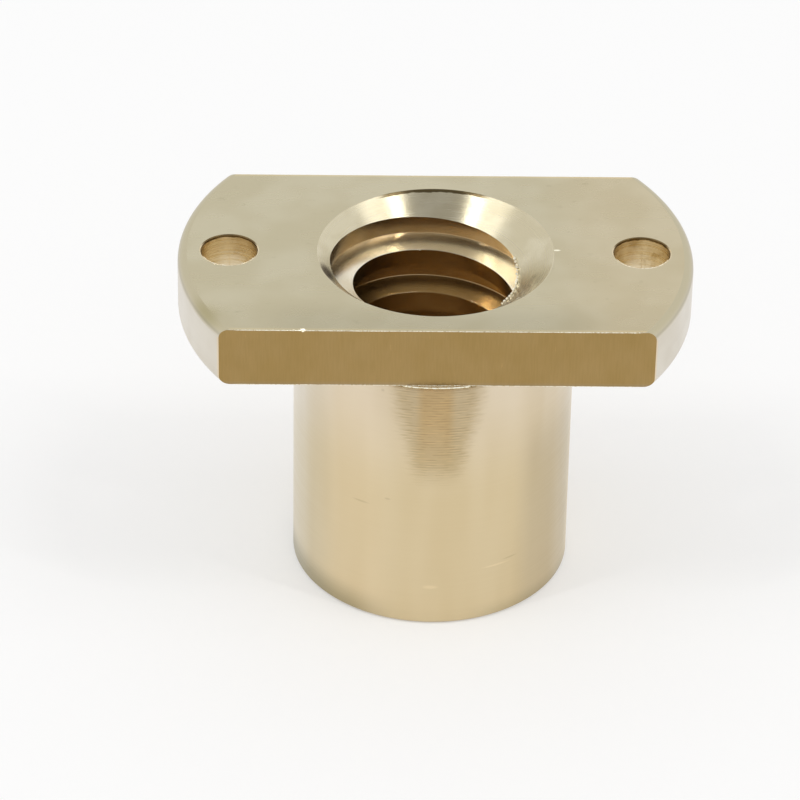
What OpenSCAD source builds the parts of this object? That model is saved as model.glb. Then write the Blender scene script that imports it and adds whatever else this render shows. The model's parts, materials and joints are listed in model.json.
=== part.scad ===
// Flanged nut for a trapezoidal lead screw, turned and milled from one piece of brass.
// The frame's origin is the centre of the barrel's free end, +Z runs up the screw axis
// to the flange, and +X runs through the two fixing holes. Lengths are in millimetres.

/* [Flange] */
// Diameter that the flange is turned to
flange_d = 50; // [49:0.5:60]
// Thickness of the flange
flange_t = 6.2; // [5:0.1:8]
// Distance across the two milled flats
across_flats = 28; // [28:0.5:32]
// Rounding of the flange's turned edges
rim_edge_r = 0.9; // [0.4:0.1:1.2]
// Diameter of the two fixing holes
fixing_hole_d = 5.5; // [4:0.1:6]
// Distance between the fixing holes
fixing_spacing = 40; // [38:0.5:41]

/* [Barrel] */
// Diameter of the barrel
barrel_d = 27.5; // [26:0.1:27.5]
// Height of the whole nut
nut_h = 34.8; // [28:0.1:44]
// Radius in the corner between barrel and flange
root_fillet_r = 1.2; // [0.8:0.1:1.5]
// Break on the barrel's lower outer edge
end_chamfer = 0.3; // [0.2:0.1:1]

/* [Thread] */
// Diameter of the bore at the crests
bore_d = 16; // [15:0.1:17]
// Diameter at the bottom of the thread's groove
groove_d = 20.5; // [19.5:0.1:21]
// Distance that the screw moves the nut in one turn
pitch = 5; // [4:0.1:6]
// Width of a thread crest along the axis
crest_w = 1.65; // [1.2:0.05:1.8]
// Angle between each flank and a plane square to the axis
flank_angle = 15; // [14:0.5:16]
// Turn of the thread's start about the axis
thread_start = 340; // [0:5:355]

/* [Countersinks] */
// Diameter of the countersink in the flange's face
mouth_d = 22.9; // [22:0.1:24]
// Angle between the upper countersink's wall and the axis
mouth_angle = 50; // [45:1:55]
// Diameter of the countersink in the barrel's end
tail_d = 21.5; // [21:0.1:22]
// Angle between the lower countersink's wall and the axis
tail_angle = 45; // [40:1:55]

/* [Hidden] */

brass = [0.80, 0.72, 0.54];

flange_r = flange_d / 2;
barrel_r = barrel_d / 2;
bore_r = bore_d / 2;
groove_r = groove_d / 2;
underside_z = nut_h - flange_t;
flat_y = across_flats / 2;

// The flats' cutter runs this far past the flange's underside.
flat_overrun = 0.08;

// Tools reach this far past the faces that they cut.
clear = 1;

// The groove's cutter is swept in straight steps, and starts this far inside the bore.
steps_per_turn = 60;
groove_lead_in = 0.3;
groove_inner_r = bore_r - groove_lead_in;
groove_turns = ceil(nut_h / pitch) + 2;

// Half of each crest turn stands back by the relief, which makes it a face of its own.
// The relief's edges fall halfway between two of the groove's steps.
crest_relief = 0.01;
relief_start = thread_start + 90 + 180 / steps_per_turn;

// Segments of the turned surfaces, of the drilled holes and of the rounded corners.
turned_fn = 180;
hole_fn = 64;
corner_fn = 64;

// Half of the groove's width at radius r.
function groove_half_w(r) =
    (pitch - crest_w) / 2 - (r - bore_r) * tan(flank_angle);

// The four corners of the groove's section at one step, taken round its outline.
function groove_corner(i, r, side) =
    let (a = thread_start + 360 * i / steps_per_turn, z = pitch * (i / steps_per_turn - 1))
    [r * cos(a), r * sin(a), z + side * groove_half_w(r)];

function groove_section(i) = [
    groove_corner(i, groove_inner_r, -1),
    groove_corner(i, groove_r, -1),
    groove_corner(i, groove_r, 1),
    groove_corner(i, groove_inner_r, 1),
];

// Helical cutter that leaves the thread between its turns.
module thread_groove() {
    steps = groove_turns * steps_per_turn;
    points = [for (i = [0:steps]) each groove_section(i)];
    sides = [
        for (i = [0:steps - 1], k = [0:3])
            let (a = 4 * i + k, b = 4 * i + (k + 1) % 4)
            each [[a, b, b + 4], [a, b + 4, a + 4]]
    ];
    first_end = [[3, 2, 1, 0]];
    last_end = [[for (k = [0:3]) 4 * steps + k]];
    polyhedron(points = points, faces = concat(sides, first_end, last_end), convexity = 20);
}

// What rounding takes off a square corner at the origin, whose sides run to -X and +Y.
module corner_cutter(r) {
    difference() {
        translate([-r, -clear])
            square(r + clear);
        translate([-r, r])
            circle(r = r, $fn = corner_fn);
    }
}

// Section of the barrel, which runs on into the flange.
module barrel_section() {
    polygon([
        [0, 0],
        [barrel_r - end_chamfer, 0],
        [barrel_r, end_chamfer],
        [barrel_r, underside_z + clear],
        [0, underside_z + clear],
    ]);
}

// Section of the flange, with both of its turned edges rounded.
module flange_section() {
    difference() {
        translate([0, underside_z])
            square([flange_r, flange_t]);
        translate([flange_r, underside_z])
            corner_cutter(rim_edge_r);
        translate([flange_r, nut_h])
            mirror([0, 1])
                corner_cutter(rim_edge_r);
    }
}

// Section of the concave corner between barrel and flange.
module fillet_section() {
    translate([barrel_r, underside_z - root_fillet_r])
        difference() {
            translate([-clear, 0])
                square([root_fillet_r + clear, root_fillet_r + clear]);
            translate([root_fillet_r, 0])
                circle(r = root_fillet_r, $fn = corner_fn);
        }
}

// Section of the blank, from the axis outwards, before the bore and the flats are cut.
module blank_section() {
    barrel_section();
    flange_section();
    fillet_section();
}

// Straight bore at the crests' diameter, with one half cut wider by the relief.
module bore_cutter() {
    translate([0, 0, -clear]) {
        cylinder(r = bore_r, h = nut_h + 2 * clear, $fn = turned_fn);
        rotate(relief_start)
            rotate_extrude(angle = 180, $fn = turned_fn)
                square([bore_r + crest_relief, nut_h + 2 * clear]);
    }
}

// Everything in front of a flat, from just under the flange upwards.
module flat_cutter() {
    translate([-flange_d, flat_y, underside_z - flat_overrun])
        cube([2 * flange_d, flange_r, flange_t + flat_overrun + clear]);
}

// Cone that opens a bore at height z, where it is r wide, upwards or downwards.
module countersink(r, angle, up) {
    depth = (r - bore_r) / tan(angle) + clear;
    inner_r = r - depth * tan(angle);
    outer_r = r + clear * tan(angle);
    mirror([0, 0, up ? 0 : 1])
        translate([0, 0, -depth])
            cylinder(r1 = inner_r, r2 = outer_r, h = depth + clear, $fn = turned_fn);
}

module nut() {
    color(brass)
        difference() {
            rotate_extrude($fn = turned_fn)
                blank_section();
            for (side = [0, 1])
                mirror([0, side, 0])
                    flat_cutter();
            for (side = [-1, 1])
                translate([side * fixing_spacing / 2, 0, underside_z - clear])
                    cylinder(d = fixing_hole_d, h = flange_t + 2 * clear, $fn = hole_fn);
            bore_cutter();
            translate([0, 0, nut_h])
                countersink(mouth_d / 2, mouth_angle, true);
            countersink(tail_d / 2, tail_angle, false);
            thread_groove();
        }
}

nut();
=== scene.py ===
# Lead screw nut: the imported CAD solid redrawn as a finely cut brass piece, on a plain
# pale floor in soft studio light. Everything is in metres, in the CAD's own frame.
import json
import math
import random

import bmesh
import bpy
from mathutils import Matrix, Vector


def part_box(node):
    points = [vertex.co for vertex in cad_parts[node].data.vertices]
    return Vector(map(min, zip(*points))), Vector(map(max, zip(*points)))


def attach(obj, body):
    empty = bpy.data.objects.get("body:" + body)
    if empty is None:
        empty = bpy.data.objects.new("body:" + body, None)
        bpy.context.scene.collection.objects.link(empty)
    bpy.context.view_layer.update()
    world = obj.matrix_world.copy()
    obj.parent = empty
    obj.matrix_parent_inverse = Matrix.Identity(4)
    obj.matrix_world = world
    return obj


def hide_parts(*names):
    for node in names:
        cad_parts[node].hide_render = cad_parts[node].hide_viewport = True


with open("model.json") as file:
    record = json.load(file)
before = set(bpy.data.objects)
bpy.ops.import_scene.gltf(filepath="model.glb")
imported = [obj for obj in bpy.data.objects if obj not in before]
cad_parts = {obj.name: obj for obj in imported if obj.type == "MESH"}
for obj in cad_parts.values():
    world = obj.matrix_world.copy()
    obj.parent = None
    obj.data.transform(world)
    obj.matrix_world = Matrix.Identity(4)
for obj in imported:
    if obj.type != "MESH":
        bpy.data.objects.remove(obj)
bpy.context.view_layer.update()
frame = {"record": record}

MM = 0.001
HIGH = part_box("nut")[1]
MOUNTS = {m["name"]: m for m in frame["record"]["mounts"]}

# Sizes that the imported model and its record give
HEIGHT = HIGH.z
FLANGE_R = HIGH.x
SEAT_Z = MOUNTS["flange_seat"]["pos_m"][2]
BARREL_R = MOUNTS["barrel"]["dims"]["r_mm"] * MM
BORE_R = MOUNTS["lead_thread"]["dims"]["r_mm"] * MM
HOLE_R = MOUNTS["fixing_holes"]["dims"]["hole_r_mm"] * MM
HOLE_X = MOUNTS["fixing_holes"]["dims"]["spacing_x_mm"] / 2 * MM

# Sizes that the CAD source has and the record doesn't
FLAT_Y = 14 * MM
RIM_EDGE_R = 0.9 * MM
END_CHAMFER = 0.3 * MM
FILLET_R = 1.2 * MM
GROOVE_R = 10.25 * MM
PITCH = 5 * MM
CREST_W = 1.65 * MM
FLANK_ANGLE = math.radians(15)
THREAD_START = math.radians(340)
MOUTH_R = 11.45 * MM
MOUTH_ANGLE = math.radians(50)
TAIL_R = 10.75 * MM
TAIL_ANGLE = math.radians(45)

# Depths of the upper countersink, the mouth, and the lower one, the tail
MOUTH_DEPTH = (MOUTH_R - BORE_R) / math.tan(MOUTH_ANGLE)
TAIL_DEPTH = (TAIL_R - BORE_R) / math.tan(TAIL_ANGLE)

# Small forms that only the visual model has: broken edges, a ledge under each flat, a step in
# each flank (its distance from the root, and its height), and a nick in the front edge
TURNED_BREAK = 0.08 * MM
MOUTH_BREAK = 0.12 * MM
HOLE_BREAK = 0.12 * MM
FLAT_BREAK = 0.03 * MM
CREST_BREAK = 0.01 * MM
ROOT_BREAK = 0.02 * MM
FLAT_OVERRUN = 0.09 * MM
ROOT_STEP = (0.2 * MM, 0.012 * MM)
NICK_PLACE = (-12.75 * MM, -FLAT_Y, HEIGHT)
NICK_REACH = (0.42 * MM, 0.3 * MM, 0.22 * MM)

# Fineness of the meshes
TURNED_SEGMENTS = 288
HOLE_SEGMENTS = 96
GROOVE_STEPS = 144
FILLET_STEPS = 16
BREAK_STEPS = 3
FILLET_FROM = 0.5 * MM
WELD = 0.0005 * MM
SMOOTH_BELOW = math.radians(32)

# How far cutters reach past what they cut, how deep inside the bore the groove's cutter starts,
# and the radius at which a drill's section stops short of its axis
CLEAR = 1 * MM
RUN_IN = 0.3 * MM
DRILL_CORE = 0.02 * MM


# ---------------------------------------------------------------- meshes


def object_from(name, points, faces, finishes, finish_of):
    """A mesh object with outward normals, and one material slot for each of its finishes."""
    mesh = bpy.data.meshes.new(name)
    mesh.from_pydata(points, [], faces)
    for finish in finishes:
        mesh.materials.append(FINISHES[finish])
    for polygon, finish in zip(mesh.polygons, finish_of):
        polygon.material_index = finishes.index(finish)
    work = bmesh.new()
    work.from_mesh(mesh)
    bmesh.ops.recalc_face_normals(work, faces=work.faces)
    work.to_mesh(mesh)
    work.free()
    made = bpy.data.objects.new(name, mesh)
    bpy.context.scene.collection.objects.link(made)
    return made


def rounded(corners):
    """Corners (r, z, radius, finish of the rounding, finish of the face after it) as a list of
    points (r, z, finish of the face that follows)."""
    out = []
    count = len(corners)
    for i, (r, z, radius, on_arc, after) in enumerate(corners):
        here = Vector((r, z))
        if not radius:
            out.append((r, z, after))
            continue
        back = (Vector(corners[i - 1][:2]) - here).normalized()
        ahead = (Vector(corners[(i + 1) % count][:2]) - here).normalized()
        half = back.angle(ahead) / 2
        reach = radius / math.tan(half)
        centre = here + (back + ahead).normalized() * radius / math.sin(half)
        start, end = here + back * reach - centre, here + ahead * reach - centre
        steps = FILLET_STEPS if radius > FILLET_FROM else BREAK_STEPS
        for k in range(steps + 1):
            x, y = centre + start.slerp(end, k / steps) * radius
            out.append((x, y, on_arc if k < steps else after))
    return out


def turned(name, section, segments, at=(0, 0)):
    """A closed section (r, z, finish of the face that follows) turned about an axis along Z."""
    count = len(section)
    points, faces, finish_of = [], [], []
    for i in range(segments):
        a = 2 * math.pi * i / segments
        points += [
            (at[0] + r * math.cos(a), at[1] + r * math.sin(a), z) for r, z, _ in section
        ]
        for k in range(count):
            j, m = (i + 1) % segments, (k + 1) % count
            faces.append((i * count + k, j * count + k, j * count + m, i * count + m))
            finish_of.append(section[k][2])
    return object_from(name, points, faces, sorted(set(finish_of)), finish_of)


def blank():
    """The turned blank, with its bore at the crests' diameter and both countersinks."""
    corners = [
        (BORE_R, TAIL_DEPTH, 0, "", "countersunk"),
        (TAIL_R, 0, TURNED_BREAK, "faced_end", "faced_end"),
        (BARREL_R - END_CHAMFER, 0, TURNED_BREAK, "faced_end", "turned"),
        (BARREL_R, END_CHAMFER, TURNED_BREAK, "turned", "turned"),
        (BARREL_R, SEAT_Z, FILLET_R, "turned", "faced_end"),
        (FLANGE_R, SEAT_Z, RIM_EDGE_R, "rim", "rim"),
        (FLANGE_R, HEIGHT, RIM_EDGE_R, "rim_edge", "faced"),
        (MOUTH_R, HEIGHT, MOUTH_BREAK, "countersunk", "countersunk"),
        (BORE_R, HEIGHT - MOUTH_DEPTH, 0, "", "threaded"),
    ]
    return turned("nut_body", rounded(corners), TURNED_SEGMENTS)


def flat_tool(side):
    """What stands in front of one milled flat. It just breaks the flange's corner, and cuts a
    thin ledge into the fillet below."""
    reach, top = FLANGE_R + CLEAR, HEIGHT + CLEAR
    low = SEAT_Z - FLAT_OVERRUN
    section = [
        (FLAT_Y, low),
        (FLAT_Y, HEIGHT - FLAT_BREAK),
        (FLAT_Y - FLAT_BREAK - CLEAR, top),
        (FLAT_Y + FLANGE_R, top),
        (FLAT_Y + FLANGE_R, low),
    ]
    # The flat, its broken corner, two sides that cut nothing, the ledge, and the two ends
    finish_of = ["milled", "burr", "milled", "milled", "burr", "milled", "milled"]
    count = len(section)
    points = [(x, side * y, z) for x in (-reach, reach) for y, z in section]
    faces = [(k, (k + 1) % count, (k + 1) % count + count, k + count) for k in range(count)]
    faces += [tuple(range(count)), tuple(range(count, 2 * count))]
    return object_from("flat_tool", points, faces, ["milled", "burr"], finish_of)


def hole_tool(side):
    """One drill, whose shoulders round both edges of its hole a little."""
    far = HOLE_R + 2 * CLEAR
    corners = [
        (DRILL_CORE, SEAT_Z - CLEAR, 0, "", "drilled"),
        (far, SEAT_Z - CLEAR, 0, "", "drilled"),
        (far, SEAT_Z, 0, "", "drilled"),
        (HOLE_R, SEAT_Z, HOLE_BREAK, "drilled", "drilled"),
        (HOLE_R, HEIGHT, HOLE_BREAK, "drilled", "drilled"),
        (far, HEIGHT, 0, "", "drilled"),
        (far, HEIGHT + CLEAR, 0, "", "drilled"),
        (DRILL_CORE, HEIGHT + CLEAR, 0, "", "drilled"),
    ]
    return turned("hole_tool", rounded(corners), HOLE_SEGMENTS, at=(side * HOLE_X, 0))


def groove_section():
    """Section of the groove's cutter as (r, height above its middle, finish of the side that
    follows). A small step in each flank near the root shows as a fine line."""
    slope = math.tan(FLANK_ANGLE)
    at_crest = (PITCH - CREST_W) / 2
    at_root = at_crest - (GROOVE_R - BORE_R) * slope
    step_r, step_h = ROOT_STEP
    half = [
        (BORE_R - RUN_IN, at_crest + CREST_BREAK + RUN_IN),
        (BORE_R + CREST_BREAK, at_crest - CREST_BREAK * slope),
        (GROOVE_R - step_r, at_root + step_r * slope),
        (GROOVE_R - step_r, at_root + step_r * slope - step_h),
        (GROOVE_R - ROOT_BREAK, at_root + ROOT_BREAK * slope - step_h),
        (GROOVE_R, at_root - ROOT_BREAK - step_h),
    ]
    points = [(r, -h) for r, h in half] + [(r, h) for r, h in reversed(half)]
    finishes = ["flank"] * 4 + ["threaded"] * 3 + ["flank"] * 5
    return [(r, h, finish) for (r, h), finish in zip(points, finishes)]


def groove_tool():
    """The helical cutter that leaves the thread between its turns. It starts a turn below the
    barrel's end, and ends above the face."""
    section = groove_section()
    count, turns = len(section), math.ceil(HEIGHT / PITCH) + 2
    steps = turns * GROOVE_STEPS
    points, faces, finish_of = [], [], []
    for i in range(steps + 1):
        a = THREAD_START + 2 * math.pi * i / GROOVE_STEPS
        rise = PITCH * (i / GROOVE_STEPS - 1)
        points += [(r * math.cos(a), r * math.sin(a), rise + h) for r, h, _ in section]
    for i in range(steps):
        for k in range(count):
            a, b = i * count + k, i * count + (k + 1) % count
            faces.append((a, b, b + count, a + count))
            finish_of.append(section[k][2])
    faces += [tuple(range(count)), tuple(range(steps * count, (steps + 1) * count))]
    finish_of += ["threaded"] * 2
    return object_from("groove_tool", points, faces, ["flank", "threaded"], finish_of)


def nick_tool(place, reach):
    """A blunt eight-sided point that knocks a small nick into an edge at place. It reaches that
    far each way along (x, y, z)."""
    points = []
    for axis in range(3):
        for way in (-1, 1):
            point = Vector(place)
            point[axis] += way * reach[axis]
            points.append(point)
    faces = [(a, b, c) for a in (0, 1) for b in (2, 3) for c in (4, 5)]
    return object_from("nick_tool", points, faces, ["burr"], ["burr"] * len(faces))


def cut(body, tool):
    """Cuts the tool out of the body, whose new faces take the tool's finishes."""
    change = body.modifiers.new("cut", "BOOLEAN")
    change.operation = "DIFFERENCE"
    change.solver = "MANIFOLD"
    change.material_mode = "TRANSFER"
    change.object = tool
    done = bpy.data.meshes.new_from_object(
        body.evaluated_get(bpy.context.evaluated_depsgraph_get())
    )
    body.modifiers.clear()
    body.data = done
    bpy.data.objects.remove(tool)


def smooth_below(body, angle):
    """Smooth shading that keeps every edge sharper than the angle, with flat faces kept flat."""
    work = bmesh.new()
    work.from_mesh(body.data)
    bmesh.ops.remove_doubles(work, verts=work.verts, dist=WELD)
    for face in work.faces:
        face.smooth = True
    for edge in work.edges:
        edge.smooth = len(edge.link_faces) == 2 and edge.calc_face_angle() < angle
    work.to_mesh(body.data)
    work.free()
    body.modifiers.new("even", "WEIGHTED_NORMAL").keep_sharp = True


def settle(piece):
    """Fixes a piece to the part's one body."""
    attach(piece, "root")


def build_nut():
    """The nut itself: the blank, with flats, holes, thread and nick cut into it in that order."""
    body = blank()
    tools = [flat_tool(1), flat_tool(-1), hole_tool(1), hole_tool(-1)]
    tools += [groove_tool(), nick_tool(NICK_PLACE, NICK_REACH)]
    for tool in tools:
        cut(body, tool)
    smooth_below(body, SMOOTH_BELOW)
    settle(body)
    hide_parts("nut")


# ---------------------------------------------------------------- burrs

# Ropes of metal along edges: their radii, and for the chip under a flat how far each of its ropes
# lies from the axis
FLAT_BURR_R = 0.05 * MM
LIP_BURR_R = 0.08 * MM
CHIP_R = 0.1 * MM
CHIP_ROWS = (14.38 * MM, 14.27 * MM, 14.14 * MM)

# How a rope is made: its sides, the points over which each end tapers, how thick it is at the
# very tip, and how much of its thickness it carries over from point to point
ROPE_SIDES = 6
ROPE_TAPER = 4
ROPE_TIP = 0.05
ROPE_CARRY = 0.6

# Rows of beads where the countersink meets the thread: each row's first angle and step in
# degrees, the radius of its largest beads, and its seed
BEAD_ROWS = ((20, -3.3, 0.24 * MM, 20), (-10, -1.6, 0.12 * MM, 21))
BEADS_IN_ROW = 18

# Shares of the largest bead's radius: the least radius, and how far a bead strays from its row
BEAD_LEAST = 0.5
BEAD_STRAY = 0.3


def bead_chain(path, size, seed):
    """Points and faces of a row of small faceted beads of uneven size along a path."""
    rng = random.Random(seed)
    points, faces = [], []
    for centre in path:
        r = size * rng.uniform(BEAD_LEAST, 1.0)
        stray = Vector([rng.uniform(-BEAD_STRAY, BEAD_STRAY) * size for _ in range(3)])
        turn = Matrix.Rotation(rng.uniform(0, math.pi), 3, "Z")
        base = len(points)
        for corner in ((1, 0, 0), (0, 1, 0), (-1, 0, 0), (0, -1, 0), (0, 0, 1), (0, 0, -1)):
            points.append(centre + stray + turn @ Vector(corner) * r)
        for k in range(4):
            a, b = base + k, base + (k + 1) % 4
            faces += [(a, b, base + 4), (b, a, base + 5)]
    return points, faces


def ridge(path, size, seed, least=0.25):
    """Points and faces of a thin uneven rope of metal along a path, tapered at both ends. Its
    radius lies between that least share of its size and all of it."""
    rng = random.Random(seed)
    points, faces = [], []
    last = len(path) - 1
    swell = 0.0
    for i, centre in enumerate(path):
        ahead = (path[min(i + 1, last)] - path[max(i - 1, 0)]).normalized()
        side = ahead.cross(Vector((0, 0, 1))).normalized()
        rise = side.cross(ahead)
        swell = ROPE_CARRY * swell + (1 - ROPE_CARRY) * rng.random()
        taper = min(i, last - i, ROPE_TAPER) / ROPE_TAPER
        r = size * (least + (1 - least) * swell) * max(taper, ROPE_TIP)
        for k in range(ROPE_SIDES):
            a = 2 * math.pi / ROPE_SIDES * k
            points.append(centre + (side * math.cos(a) + rise * math.sin(a)) * r)
    for i in range(last):
        for k in range(ROPE_SIDES):
            a, b = i * ROPE_SIDES + k, i * ROPE_SIDES + (k + 1) % ROPE_SIDES
            faces.append((a, b, b + ROPE_SIDES, a + ROPE_SIDES))
    return points, faces


def arc(centre, radius, first, last, count):
    """Points on a level arc, between two angles in degrees."""
    turn = [math.radians(first + (last - first) * i / (count - 1)) for i in range(count)]
    return [Vector(centre) + radius * Vector((math.cos(a), math.sin(a), 0)) for a in turn]


def straight(first, last, count):
    """Points on a straight line between two places."""
    return [Vector(first).lerp(Vector(last), i / (count - 1)) for i in range(count)]


def mouth_edge(degrees):
    """A point just proud of the countersink's inner edge at an angle, which lies where the
    countersink meets either the bore or a thread's flank."""
    a = math.radians(degrees)
    bore_z = HEIGHT - MOUTH_DEPTH
    turn = (a - THREAD_START) / (2 * math.pi)
    count = math.floor((bore_z - PITCH * turn) / PITCH)
    flank_z = PITCH * (turn + count) + (PITCH - CREST_W) / 2
    out = max(flank_z - bore_z, 0) / (math.tan(FLANK_ANGLE) + 1 / math.tan(MOUTH_ANGLE))
    proud = 0.06 * MM
    r, z = BORE_R + out - proud, bore_z + out / math.tan(MOUTH_ANGLE) + proud
    return Vector((r * math.cos(a), r * math.sin(a), z))


def flat_burrs(side, seed):
    """Fine ropes along the upper and the lower edge of one flat, short of its corners."""
    corner_gap = 1.3 * MM
    end = math.sqrt(FLANGE_R**2 - FLAT_Y**2) - corner_gap
    y, top, foot = side * FLAT_Y, HEIGHT - FLAT_BURR_R, SEAT_Z + 0.01 * MM
    yield ridge(straight((-end, y, top), (end, y, top), count=260), FLAT_BURR_R, seed)
    yield ridge(straight((-end, y, foot), (end, y, foot), count=220), FLAT_BURR_R, seed + 5)


def lip_burr(side, seed):
    """A rope on the near lip of one fixing hole, just below the face."""
    lip = (side * HOLE_X, 0, HEIGHT - 0.09 * MM)
    path = arc(lip, HOLE_R - 0.04 * MM, first=200, last=340, count=60)
    return ridge(path, LIP_BURR_R, seed + 10, least=0.3)


def ledge_chip(side, seed):
    """The curled chip that fills the ledge which one flat cuts into the fillet."""
    ledge = (0, 0, SEAT_Z - 0.05 * MM)
    points_per_degree = 2.5
    for row, radius in enumerate(CHIP_ROWS):
        half = math.degrees(math.acos(FLAT_Y / radius))
        count = int(2 * half * points_per_degree)
        path = arc(ledge, radius, side * 90 - half, side * 90 + half, count)
        yield ridge(path, CHIP_R, seed + 30 + row, least=0.85)


def mouth_beads():
    """The serrated burr where the countersink meets the thread, coarse and then finer."""
    for first, step, size, seed in BEAD_ROWS:
        path = [mouth_edge(first + step * i) for i in range(BEADS_IN_ROW)]
        yield bead_chain(path, size, seed)


def burr_parts():
    """The burrs that milling, drilling and threading left along the edges. Each has a seed of
    its own, so that no two are alike."""
    for seed, side in enumerate((-1, 1)):
        yield from flat_burrs(side, seed)
        yield lip_burr(side, seed)
        yield from ledge_chip(side, seed)
    yield from mouth_beads()


def build_burrs():
    """All the burrs, as one piece."""
    points, faces = [], []
    for part_points, part_faces in burr_parts():
        faces += [tuple(len(points) + i for i in face) for face in part_faces]
        points += part_points
    piece = object_from("nut_burrs", points, faces, ["burr"], ["burr"] * len(faces))
    settle(piece)


# ---------------------------------------------------------------- materials

# Distance between the chatter lines on the barrel
CHATTER_PITCH = 0.3 * MM

# Noise: the levels that most of it lies between, and how strong its finer layers are
NOISE_LOW, NOISE_HIGH = 0.35, 0.65
NOISE_ROUGHNESS = 0.55


def node(tree, kind, inputs=None, **settings):
    """A new node with its settings, and its inputs either linked or set."""
    made = tree.nodes.new(kind)
    for name, value in settings.items():
        setattr(made, name, value)
    for name, value in (inputs or {}).items():
        if isinstance(value, bpy.types.NodeSocket):
            tree.links.new(value, made.inputs[name])
        else:
            made.inputs[name].default_value = value
    return made


def calc(tree, operation, *values):
    return node(tree, "ShaderNodeMath", dict(enumerate(values)), operation=operation).outputs[0]


def product(tree, first, *others):
    """All the values multiplied."""
    for other in others:
        first = calc(tree, "MULTIPLY", first, other)
    return first


def vector_calc(tree, operation, *values):
    made = node(tree, "ShaderNodeVectorMath", dict(enumerate(values)), operation=operation)
    return made.outputs["Value" if operation == "LENGTH" else "Vector"]


def spread(tree, value, low, high, to_low=0.0, to_high=1.0):
    """The value eased from to_low at low to to_high at high."""
    return node(
        tree,
        "ShaderNodeMapRange",
        {"Value": value, "From Min": low, "From Max": high, "To Min": to_low, "To Max": to_high},
        interpolation_type="SMOOTHSTEP",
    ).outputs["Result"]


def grain(tree, place, cell, detail, seed):
    """Noise from 0 to 1 whose cells are about that size (x, y, z) in mm."""
    scaled = node(
        tree,
        "ShaderNodeMapping",
        {
            "Vector": place,
            "Location": (seed, seed, seed),
            "Scale": tuple(1 / (size * MM) for size in cell),
        },
    ).outputs[0]
    return node(
        tree,
        "ShaderNodeTexNoise",
        {"Vector": scaled, "Scale": 1.0, "Detail": detail, "Roughness": NOISE_ROUGHNESS},
    ).outputs["Fac"]


def blend(tree, share, first, second, mode="MIX"):
    """The first colour where the share is 0, and the second, or both multiplied, where it is 1."""
    made = node(tree, "ShaderNodeMix", data_type="RGBA", blend_type=mode)
    for socket, value in (("Factor", share), ("A", first), ("B", second)):
        found = [s for s in made.inputs if s.name == socket and s.enabled][0]
        if isinstance(value, bpy.types.NodeSocket):
            tree.links.new(value, found)
        else:
            found.default_value = value
    return [s for s in made.outputs if s.enabled][0]


def grey(level):
    return (level, level, level, 1.0)


def linear(red, green, blue):
    """A colour given as it shows on a screen, 0 to 255, in the scene's linear values."""
    return tuple(
        (c / 255 / 12.92) if c <= 10 else ((c / 255 + 0.055) / 1.055) ** 2.4
        for c in (red, green, blue)
    ) + (1.0,)


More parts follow.
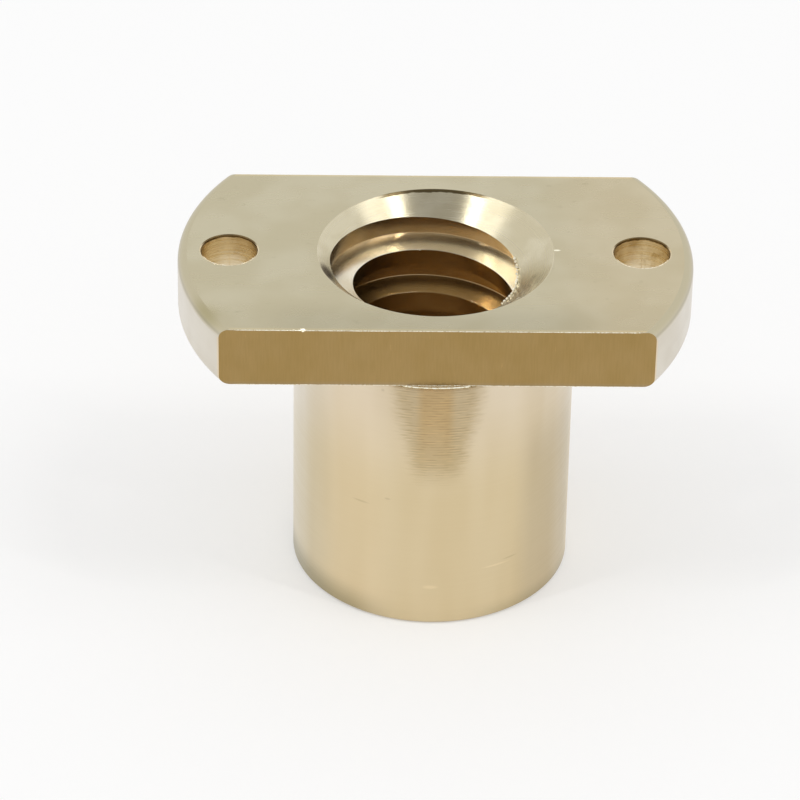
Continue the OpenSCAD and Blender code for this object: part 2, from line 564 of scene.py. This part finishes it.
class Brass:
    def __init__(self, name, roughness, anisotropy=0.0):
        self.material = bpy.data.materials.new(name)
        self.material.use_nodes = True
        self.tree = self.material.node_tree
        self.shader = self.tree.nodes["Principled BSDF"]
        self.shader.inputs["Metallic"].default_value = 1.0
        self.roughness = roughness
        self.colour = None
        self.place = node(self.tree, "ShaderNodeTexCoord").outputs["Object"]
        flat = vector_calc(self.tree, "MULTIPLY", self.place, (1.0, 1.0, 0.0))
        self.x, self.y, self.z = node(
            self.tree, "ShaderNodeSeparateXYZ", {0: self.place}
        ).outputs
        # Turned surfaces have their pattern in distance from the axis and in height.
        radius = vector_calc(self.tree, "LENGTH", flat)
        self.turned_place = node(
            self.tree, "ShaderNodeCombineXYZ", {0: radius, 1: self.x, 2: self.z}
        ).outputs[0]
        # Turning lines run round the axis, so the gloss is drawn out across them: up and outwards.
        if anisotropy:
            self.shader.inputs["Anisotropic"].default_value = anisotropy
            outwards = vector_calc(self.tree, "NORMALIZE", flat)
            mostly_up = (0.0, 0.0, 3.0)
            across = vector_calc(self.tree, "ADD", outwards, mostly_up)
            self.tree.links.new(across, self.shader.inputs["Tangent"])

    def calc(self, operation, *values):
        return calc(self.tree, operation, *values)

    def product(self, *values):
        return product(self.tree, *values)

    def spread(self, value, low, high, to_low=0.0, to_high=1.0):
        return spread(self.tree, value, low, high, to_low, to_high)

    def away(self, value, centre=0.0):
        """How far the value is from a centre, to either side."""
        return self.calc("ABSOLUTE", self.calc("SUBTRACT", value, centre))

    def cells(self, cell, detail=2.0, seed=0.0):
        """Noise in cells of about that size (x, y, z) in mm."""
        return grain(self.tree, self.place, cell, detail, seed)

    def clouds(self, cell, detail=2.0, seed=0.0, low=NOISE_LOW, high=NOISE_HIGH):
        """The noise of cells(), eased from 0 where it is low to 1 where it is high."""
        return self.spread(self.cells(cell, detail, seed), low, high)

    def lines(self, cell, detail=2.0, seed=0.0):
        """Noise drawn out round the axis, in cells of about that size (outwards, x, z) in mm."""
        return grain(self.tree, self.turned_place, cell, detail, seed)

    def spot(self, centre, size, inner=0.3):
        """1 at a place on the surface, fading to 0 at the given half sizes (x, y, z) in mm. The
        fading starts at the inner share of them."""
        off = vector_calc(self.tree, "SUBTRACT", self.place, tuple(c * MM for c in centre))
        off = vector_calc(self.tree, "DIVIDE", off, tuple(s * MM for s in size))
        return self.spread(vector_calc(self.tree, "LENGTH", off), inner, 1.0, 1.0, 0.0)

    def base(self, share, first, second):
        """Starts the colour: the first one where the share is 0, the second where it is 1."""
        self.colour = blend(self.tree, share, linear(*first), linear(*second))

    def paint(self, share, colour):
        """Covers what is there with a colour where the share is 1."""
        self.colour = blend(self.tree, share, self.colour, linear(*colour))

    def tint(self, share, factor):
        """Multiplies red, green and blue by a factor each where the share is 1."""
        self.colour = blend(self.tree, share, self.colour, (*factor, 1.0), "MULTIPLY")

    def painted_lip_shadow(self, reach, depth):
        """A thin ragged painted shadow just under the top face, at the back of an opening."""
        rags = self.product(self.cells((0.8, 0.8, 0.8), seed=1.0), depth * 1.2)
        level = self.calc("ADD", self.z, rags)
        line = self.spread(level, HEIGHT - 0.45 * depth, HEIGHT - 0.3 * depth)
        back = self.spread(self.y, 0.5 * MM, 1.5 * MM)
        aside = self.spread(self.away(self.x), reach, reach * 1.3, 1.0, 0.0)
        self.tint(self.product(line, back, aside), (0.22, 0.18, 0.12))

    def finish(self, marks, depth, vary=0.15):
        """Links the colour, and the tool's marks as relief of that depth and as gloss, which
        varies by that share, and returns the material."""
        least, most = self.roughness * (1 - vary), self.roughness * (1 + vary)
        gloss = self.spread(marks, 0.3, 0.7, least, most)
        relief = node(
            self.tree, "ShaderNodeBump", {"Height": marks, "Strength": 1.0, "Distance": depth}
        ).outputs["Normal"]
        links, inputs = self.tree.links, self.shader.inputs
        links.new(self.colour, inputs["Base Color"])
        links.new(gloss, inputs["Roughness"])
        links.new(relief, inputs["Normal"])
        return self.material


def faced():
    """The flange's face: almost even, with faint smudges and a painted highlight along the flats.
    It has painted shade towards the front and at the left corner, a painted lighter tone towards
    the right, and one small bright nick."""
    b = Brass("faced", 0.28)
    b.base(b.clouds((7, 7, 7)), (192, 183, 154), (198, 190, 163))
    # Painted shade: darker towards the front, less so towards the far ends.
    front = b.spread(b.y, -8 * MM, -12.5 * MM)
    middle = b.spread(b.away(b.x), 12 * MM, 18 * MM, 1.0, 0.3)
    b.tint(b.product(front, middle), (0.86, 0.86, 0.85))
    # Painted highlight: a little paler towards the right.
    b.tint(b.spread(b.x, 8 * MM, 18 * MM), (1.04, 1.0, 0.97))
    smudges = b.clouds((1.2, 0.8, 1), detail=3, seed=7.0, low=0.62, high=0.8)
    b.tint(b.product(smudges, 0.7), (0.86, 0.86, 0.84))
    # Painted highlight: a paler line along each edge beside a flat.
    beside_flat = b.spread(b.away(b.y), FLAT_Y - 0.45 * MM, FLAT_Y - 0.1 * MM, 0.0, 0.8)
    b.tint(beside_flat, (1.24, 1.16, 1.02))
    # Painted shade at the left corner.
    left_corner = b.spot((-21.7, -11.6, HEIGHT / MM), (1.5, 2.6, 1.0), inner=0.1)
    b.tint(left_corner, (0.88, 0.86, 0.77))
    nick = b.spot((11.75, 0.35, HEIGHT / MM), (0.45, 0.18, 0.5), inner=0.5)
    b.paint(nick, (250, 244, 220))
    return b.finish(b.cells((6, 2, 1), seed=3.0), 0.0002 * MM, vary=0.04)


def milled():
    """The two flats: a deeper gold that is partly painted shade, with upright cutter marks, a few
    brighter scratches, and a painted highlight along the lower edge."""
    b = Brass("milled", 0.42)
    # Partly painted shade: a base darker than the brass elsewhere, for a dark reflection in front.
    b.base(b.clouds((4, 4, 6), low=0.3, high=0.7), (159, 132, 81), (164, 137, 88))
    marks = b.cells((0.16, 1, 2.5), seed=5.0)
    b.tint(b.spread(marks, NOISE_LOW, NOISE_HIGH), (1.09, 1.09, 1.11))
    scratches = b.clouds((0.3, 1, 1.6), detail=1, seed=9.0, low=0.7, high=0.8)
    b.tint(scratches, (1.14, 1.12, 1.1))
    # Painted highlight: paler and cooler along the lower edge.
    lower_edge = b.spread(b.z, SEAT_Z, SEAT_Z + 0.5 * MM, 1.0, 0.0)
    b.tint(lower_edge, (0.97, 1.04, 1.35))
    return b.finish(marks, 0.0006 * MM)


def rim():
    """The flange's turned rim, the palest surface, with a warm painted highlight beside the flats.
    """
    b = Brass("rim", 0.3)
    b.base(b.clouds((5, 5, 5)), (213, 205, 189), (221, 214, 200))
    lines = b.lines((1, 14, 0.2))
    b.tint(lines, (0.97, 0.97, 0.98))
    # Painted highlight: a warm pale line along each edge beside a flat.
    beside_flat = b.spread(b.away(b.y), FLAT_Y - 0.35 * MM, FLAT_Y - 0.1 * MM)
    b.tint(beside_flat, (1.09, 0.98, 0.82))
    return b.finish(lines, 0.0001 * MM, vary=0.06)


def rim_edge():
    """The rounding between rim and face. Their two tones meet in a slightly darker line of painted
    reflection, and it has painted shade at the left corner."""
    b = Brass("rim_edge", 0.3)
    up = b.spread(b.z, HEIGHT - RIM_EDGE_R, HEIGHT - 0.1 * MM)
    b.base(up, (214, 206, 190), (192, 183, 155))
    # Painted reflection: a slightly darker line where the two tones meet.
    line = b.spread(b.away(up, 0.45), 0.0, 0.4, 1.0, 0.0)
    b.tint(line, (0.84, 0.84, 0.82))
    # Painted shade at the left corner.
    left_corner = b.spot((-22.2, -11.2, HEIGHT / MM - 0.2), (2.8, 4.2, 1.0), inner=0.1)
    b.tint(left_corner, (0.8, 0.79, 0.68))
    return b.finish(b.lines((0.2, 14, 0.2)), 0.0001 * MM, vary=0.06)


def barrel_painted_light(b):
    """Painted light on the barrel in soft upright tones: painted reflections paler and cooler near
    the flange, at both sides and in a band left of the middle, and painted shade at the right of
    the front."""
    # Painted reflection: paler and cooler towards the flange.
    upper = b.spread(b.z, 14 * MM, 29 * MM)
    b.tint(upper, (1.08, 1.13, 1.36))
    # Painted highlight: a paler band left of the middle.
    band = b.spread(b.away(b.x, -7.5 * MM), 1 * MM, 4 * MM, 1.0, 0.0)
    b.tint(band, (1.05, 1.05, 1.07))
    # Painted sheen: paler and cooler at both sides, more so at the left.
    sides = b.spread(b.away(b.x), 11.5 * MM, 13.6 * MM)
    b.tint(sides, (1.08, 1.14, 1.3))
    left = b.spread(b.x, -9 * MM, -12.5 * MM)
    b.tint(left, (1.01, 1.06, 1.17))
    # Painted shade: darker at the right of the front, fading upwards.
    right = b.spread(b.x, 7.5 * MM, 10 * MM)
    front = b.spread(b.y, -1 * MM, -4 * MM)
    low = b.spread(b.z, 17 * MM, 24 * MM, 1.0, 0.15)
    b.tint(b.product(right, front, low), (0.86, 0.86, 0.87))


def painted_reflection_patch(b):
    """A painted dark reflection on the front of the barrel, under the flat, on a wide ground of
    fainter painted shade. Its edges are ragged, it narrows downwards, and its middle is the
    deepest gold."""
    # Painted shade and reflection, in layers: the wide ground, the ragged patch, and its middle.
    front = b.spread(b.y, -3 * MM, 0.0, 1.0, 0.0)
    ground = b.spread(b.away(b.x, -1 * MM), 4 * MM, 7 * MM, 1.0, 0.0)
    ground = b.product(ground, front, b.spread(b.z, 20 * MM, 28 * MM))
    b.tint(ground, (0.91, 0.89, 0.84))

    half_width = b.spread(b.z, 16 * MM, 28 * MM, 1.3 * MM, 3.3 * MM)
    rags = b.product(b.lines((1, 1.2, 0.25), seed=6.0), 1.5 * MM)
    inside = b.calc("SUBTRACT", b.calc("ADD", half_width, rags), b.away(b.x, 0.25 * MM))
    patch = b.product(
        b.spread(inside, -1 * MM, 1 * MM), front, b.spread(b.z, 15.8 * MM, 20 * MM)
    )
    b.tint(patch, (0.77, 0.73, 0.64))

    core = b.spread(b.away(b.x), 1 * MM, 2.2 * MM, 1.0, 0.0)
    core = b.product(core, b.spread(b.z, 17 * MM, 25 * MM), patch)
    b.tint(core, (0.94, 0.84, 0.68))
    chatter_lines(b, patch)


def chatter_lines(b, patch):
    """Short uneven turning lines across the painted dark reflection, paler and darker by turns."""
    wave = b.calc("SINE", b.product(b.z, 2 * math.pi / CHATTER_PITCH))
    runs = b.spread(b.lines((1, 1.3, 0.2), detail=1, seed=4.0), 0.45, 0.6)
    wave = b.product(wave, runs, patch)
    b.tint(b.calc("MAXIMUM", wave, 0.0), (1.14, 1.13, 1.1))
    b.tint(b.calc("MAXIMUM", b.product(wave, -1.0), 0.0), (0.82, 0.8, 0.77))


def foot_shade(b):
    """Painted shade at the barrel's foot, more so at the sides than in the middle, and most at the
    left."""
    tilted = b.calc("ADD", b.z, b.product(b.x, 0.08))
    low = b.spread(tilted, -0.6 * MM, 2.9 * MM, 1.0, 0.0)
    side = b.spread(b.away(b.x), 2.5 * MM, 9 * MM, 0.1, 1.0)
    b.tint(b.product(low, side), (0.6, 0.61, 0.58))


def handling_marks(b):
    """A few small scratches and smears on the barrel's front."""
    # The strength and tint of each kind, then the kind, place and half size of each mark
    pale, dark = (0.5, (1.2, 1.22, 1.3)), (0.45, (0.72, 0.7, 0.66))
    marks = (
        (pale, (6.2, -12.2, 6.2), (1.9, 2.0, 0.16)),
        (pale, (-0.2, -13.7, 4.5), (1.0, 1.0, 0.3)),
        (pale, (-2.5, -13.5, 22.0), (0.5, 1.0, 0.12)),
        (dark, (7.6, -11.4, 6.6), (1.1, 1.2, 0.14)),
        (dark, (-7.1, -11.8, 13.5), (1.2, 1.2, 0.16)),
        (dark, (-4.5, -13.0, 14.6), (0.4, 1.0, 0.16)),
        (dark, (-5.1, -12.8, 27.2), (0.22, 0.5, 0.22)),
    )
    for (strength, factor), place, size in marks:
        b.tint(b.product(b.spot(place, size), strength), factor)


def turned_barrel():
    """The barrel: pale gold with fine turning lines, painted reflections, a painted dark
    reflection with turning lines under the flat, and painted shade at its foot.
    """
    b = Brass("turned", 0.34, anisotropy=0.4)
    b.base(b.clouds((4, 4, 30), detail=1, seed=2.0), (216, 197, 158), (220, 202, 165))
    barrel_painted_light(b)
    painted_reflection_patch(b)
    foot_shade(b)
    handling_marks(b)
    return b.finish(b.lines((1, 9, 0.16), detail=3), 0.0003 * MM)


def faced_end():
    """The flange's underside and the barrel's end, faced on the lathe."""
    b = Brass("faced_end", 0.34)
    b.base(b.clouds((5, 5, 5)), (196, 182, 148), (206, 193, 160))
    lines = b.lines((0.14, 16, 1))
    b.tint(lines, (0.95, 0.95, 0.95))
    return b.finish(lines, 0.0005 * MM)


def countersunk():
    """The countersinks: bright, with turning lines that draw the highlights out along the slope.
    The upper one has a small dark smudge and wider painted shade at its right, painted shade at
    its left and a painted shadow under its back lip."""
    b = Brass("countersunk", 0.26, anisotropy=0.8)
    b.base(b.clouds((3, 3, 3)), (203, 193, 164), (212, 203, 176))
    lines = b.lines((0.12, 9, 3))
    b.tint(lines, (0.985, 0.985, 0.985))
    # A small dark smudge, then a wider soft patch of painted shade.
    smudge_and_painted_shade = (
        (0.9, (9.4, -2.3, 33.3), (0.8, 0.9, 0.6)),
        (0.7, (9.6, -3.8, 33.4), (2.2, 2.6, 2.0)),
    )
    for strength, place, size in smudge_and_painted_shade:
        b.tint(b.product(b.spot(place, size, inner=0.1), strength), (0.66, 0.64, 0.58))
    # Painted shade: a dark patch at the left of the countersink.
    painted_left_shade = b.spot((-10.6, -3.5, 34.4), (1.2, 2.4, 1.1))
    b.tint(painted_left_shade, (0.14, 0.1, 0.05))
    # Painted shadow just under the back lip of the mouth.
    b.painted_lip_shadow(4.5 * MM, 0.2 * MM)
    return b.finish(lines, 0.00011 * MM, vary=0.06)


def threaded():
    """The thread's crests and roots, with a browner base than the surfaces outside that is partly
    painted shade in the bore.
    """
    b = Brass("threaded", 0.18, anisotropy=0.65)
    # Partly painted shade: a deeper, browner base than the brass outside.
    b.base(b.clouds((3, 3, 3)), (208, 180, 134), (218, 192, 150))
    lines = b.lines((1, 9, 0.12))
    b.tint(lines, (0.97, 0.97, 0.96))
    return b.finish(lines, 0.00005 * MM, vary=0.05)


def flank():
    """The thread's flanks: pale near both ends of the bore, with a base that is partly a painted
    highlight, and browner deep inside it by painted shade.
    """
    b = Brass("flank", 0.17, anisotropy=0.75)
    # Partly a painted highlight: a base paler than the brass outside.
    b.base(b.clouds((3, 3, 3)), (243, 234, 214), (249, 242, 225))
    # Painted shade: browner deep inside the bore, away from both ends.
    middle = HEIGHT / 2
    deep = b.spread(b.away(b.z, middle), middle - 6 * MM, middle - 9 * MM)
    b.tint(deep, (0.82, 0.72, 0.56))
    lines = b.lines((0.12, 9, 1.5))
    b.tint(lines, (0.97, 0.97, 0.96))
    return b.finish(lines, 0.00005 * MM, vary=0.05)


def drilled():
    """The fixing holes, with the drill's rings, brown stains and a painted shadow under the back
    lip.
    """
    b = Brass("drilled", 0.3)
    rings = b.lines((30, 12, 0.14))
    b.base(b.spread(rings, NOISE_LOW, NOISE_HIGH), (222, 203, 164), (238, 224, 194))
    stains = b.clouds((1.6, 1.6, 1.6), detail=3, seed=3.0, low=0.5, high=0.7)
    b.tint(stains, (0.74, 0.68, 0.56))
    # Painted shadow just under the back lip of each hole.
    b.painted_lip_shadow(FLANGE_R, 0.28 * MM)
    return b.finish(rings, 0.0006 * MM)


def burr():
    """Raw metal on burrs, ledges and knocked edges, with a near-white base that is partly a
    painted highlight.
    """
    b = Brass("burr", 0.3)
    specks = b.cells((0.25, 0.25, 0.25))
    # Partly a painted highlight: a base much paler than the brass elsewhere.
    b.base(b.spread(specks, 0.35, 0.6), (228, 216, 186), (252, 248, 232))
    return b.finish(specks, 0.0005 * MM)


FINISHES = {
    "faced": faced(),
    "milled": milled(),
    "rim": rim(),
    "rim_edge": rim_edge(),
    "turned": turned_barrel(),
    "faced_end": faced_end(),
    "countersunk": countersunk(),
    "threaded": threaded(),
    "flank": flank(),
    "drilled": drilled(),
    "burr": burr(),
}


# ---------------------------------------------------------------- studio

# Levels at which 1 shows as white: the room as matt surfaces are lit by it, the ceiling as the
# metal mirrors it, and the floor
ROOM_LIGHT = 0.74
OVERHEAD = 0.44
FLOOR_GREY = 0.7

FLOOR_RADIUS = 3.0

# Lamps in pairs, left and right: the direction of the right one from the nut, its width and
# height, and its radiance. The narrow pair's reflections streak the countersink.
LAMP_DISTANCE = 1.2
LAMPS = {
    "soft": ((0.60, -0.10, 0.78), (0.42, 0.7), 1.1),
    "strip": ((0.46, -0.27, 0.85), (0.028, 0.45), 30),
}

# The photograph's view, as fitted to the nut's own edges in it
AZIMUTH = math.radians(-1.078)
ELEVATION = math.radians(34.377)
ROLL = math.radians(1.005)
CAMERA_DISTANCE = 0.45185
CAMERA_TARGET = (-3.206 * MM, 0, 17.328 * MM)
LENS_MM = 205.33
SENSOR_MM = 36
CLIP_START, CLIP_END = 0.01, 20


def seen_or_mirrored(tree):
    """1 for what the camera sees straight or in a reflection, 0 for what lights a surface."""
    path = node(tree, "ShaderNodeLightPath").outputs
    direct = calc(tree, "MAXIMUM", path["Is Camera Ray"], path["Is Glossy Ray"])
    return calc(tree, "MAXIMUM", direct, path["Is Transmission Ray"])


def floor_material():
    """A matt pale grey, lifted to white wherever it is seen and no shadow falls."""
    material = bpy.data.materials.new("floor")
    material.use_nodes = True
    tree = material.node_tree
    shader = tree.nodes["Principled BSDF"]
    shader.inputs["Base Color"].default_value = grey(FLOOR_GREY)
    shader.inputs["Roughness"].default_value = 0.9
    shader.inputs["Specular IOR Level"].default_value = 0.0
    lift = product(tree, seen_or_mirrored(tree), 1 - FLOOR_GREY)
    glow = node(tree, "ShaderNodeEmission", {"Strength": lift})
    both = node(tree, "ShaderNodeAddShader", {0: shader.outputs[0], 1: glow.outputs[0]})
    tree.links.new(both.outputs[0], tree.nodes["Material Output"].inputs["Surface"])
    return material


def build_floor():
    """A wide pale floor that shows white and keeps the nut's shadow."""
    corners = [math.radians(degrees) for degrees in range(0, 360, 6)]
    points = [(FLOOR_RADIUS * math.cos(a), FLOOR_RADIUS * math.sin(a), 0) for a in corners]
    mesh = bpy.data.meshes.new("floor")
    mesh.from_pydata(points, [], [tuple(range(len(points)))])
    mesh.materials.append(floor_material())
    floor = bpy.data.objects.new("floor", mesh)
    bpy.context.scene.collection.objects.link(floor)


def build_world():
    """A white backdrop all round that the metal mirrors, with a dimmer ceiling over the front."""
    world = bpy.data.worlds.new("room")
    bpy.context.scene.world = world
    world.use_nodes = True
    tree = world.node_tree
    way = node(tree, "ShaderNodeTexCoord").outputs["Generated"]
    apart = node(tree, "ShaderNodeSeparateXYZ", {0: way}).outputs
    front = spread(tree, apart["Y"], 0.1, -0.3)
    high = spread(tree, apart["Z"], 0.6, 0.85)
    zenith = spread(tree, apart["Z"], 0.9, 0.99)
    ceiling = calc(tree, "MAXIMUM", product(tree, front, high), zenith)
    backdrop = spread(tree, ceiling, 0, 1, 1.0, OVERHEAD)
    shown = seen_or_mirrored(tree)
    lighting = product(tree, calc(tree, "SUBTRACT", 1.0, shown), ROOM_LIGHT)
    strength = calc(tree, "ADD", product(tree, shown, backdrop), lighting)
    background = tree.nodes["Background"]
    background.inputs["Color"].default_value = grey(1.0)
    tree.links.new(strength, background.inputs["Strength"])


def softbox(name, towards, size, radiance):
    """A rectangular lamp in a direction from the nut, size (width, height), facing it."""
    lamp = bpy.data.lights.new(name, "AREA")
    lamp.shape = "RECTANGLE"
    lamp.size, lamp.size_y = size
    lamp.energy = math.pi * radiance * size[0] * size[1]
    made = bpy.data.objects.new(name, lamp)
    aim = Vector(towards).normalized()
    made.location = Vector((0, 0, HEIGHT)) + aim * LAMP_DISTANCE
    made.rotation_euler = (-aim).to_track_quat("-Z", "Y").to_euler()
    bpy.context.scene.collection.objects.link(made)


def build_lamps():
    """Each pair of lamps, mirrored left and right."""
    for name, side in (("left", -1), ("right", 1)):
        for kind, ((x, y, z), size, radiance) in LAMPS.items():
            softbox(f"{kind}_{name}", (side * x, y, z), size, radiance)


def build_camera():
    """The photograph's view, from the front and above through a long lens."""
    away = Vector(
        (
            math.sin(AZIMUTH) * math.cos(ELEVATION),
            -math.cos(AZIMUTH) * math.cos(ELEVATION),
            math.sin(ELEVATION),
        )
    )
    right = (-away).cross(Vector((0, 0, 1))).normalized()
    up = right.cross(-away)
    tilted_right = right * math.cos(ROLL) + up * math.sin(ROLL)
    tilted_up = up * math.cos(ROLL) - right * math.sin(ROLL)
    data = bpy.data.cameras.new("camera")
    data.lens = LENS_MM
    data.sensor_width = SENSOR_MM
    data.clip_start, data.clip_end = CLIP_START, CLIP_END
    camera = bpy.data.objects.new("camera", data)
    turn = Matrix((tilted_right, tilted_up, away)).transposed().to_4x4()
    place = Vector(CAMERA_TARGET) + away * CAMERA_DISTANCE
    camera.matrix_world = Matrix.Translation(place) @ turn
    bpy.context.scene.collection.objects.link(camera)
    bpy.context.scene.camera = camera


build_nut()
build_burrs()
build_floor()
build_world()
build_lamps()
build_camera()
bpy.context.scene.view_settings.view_transform = "Standard"
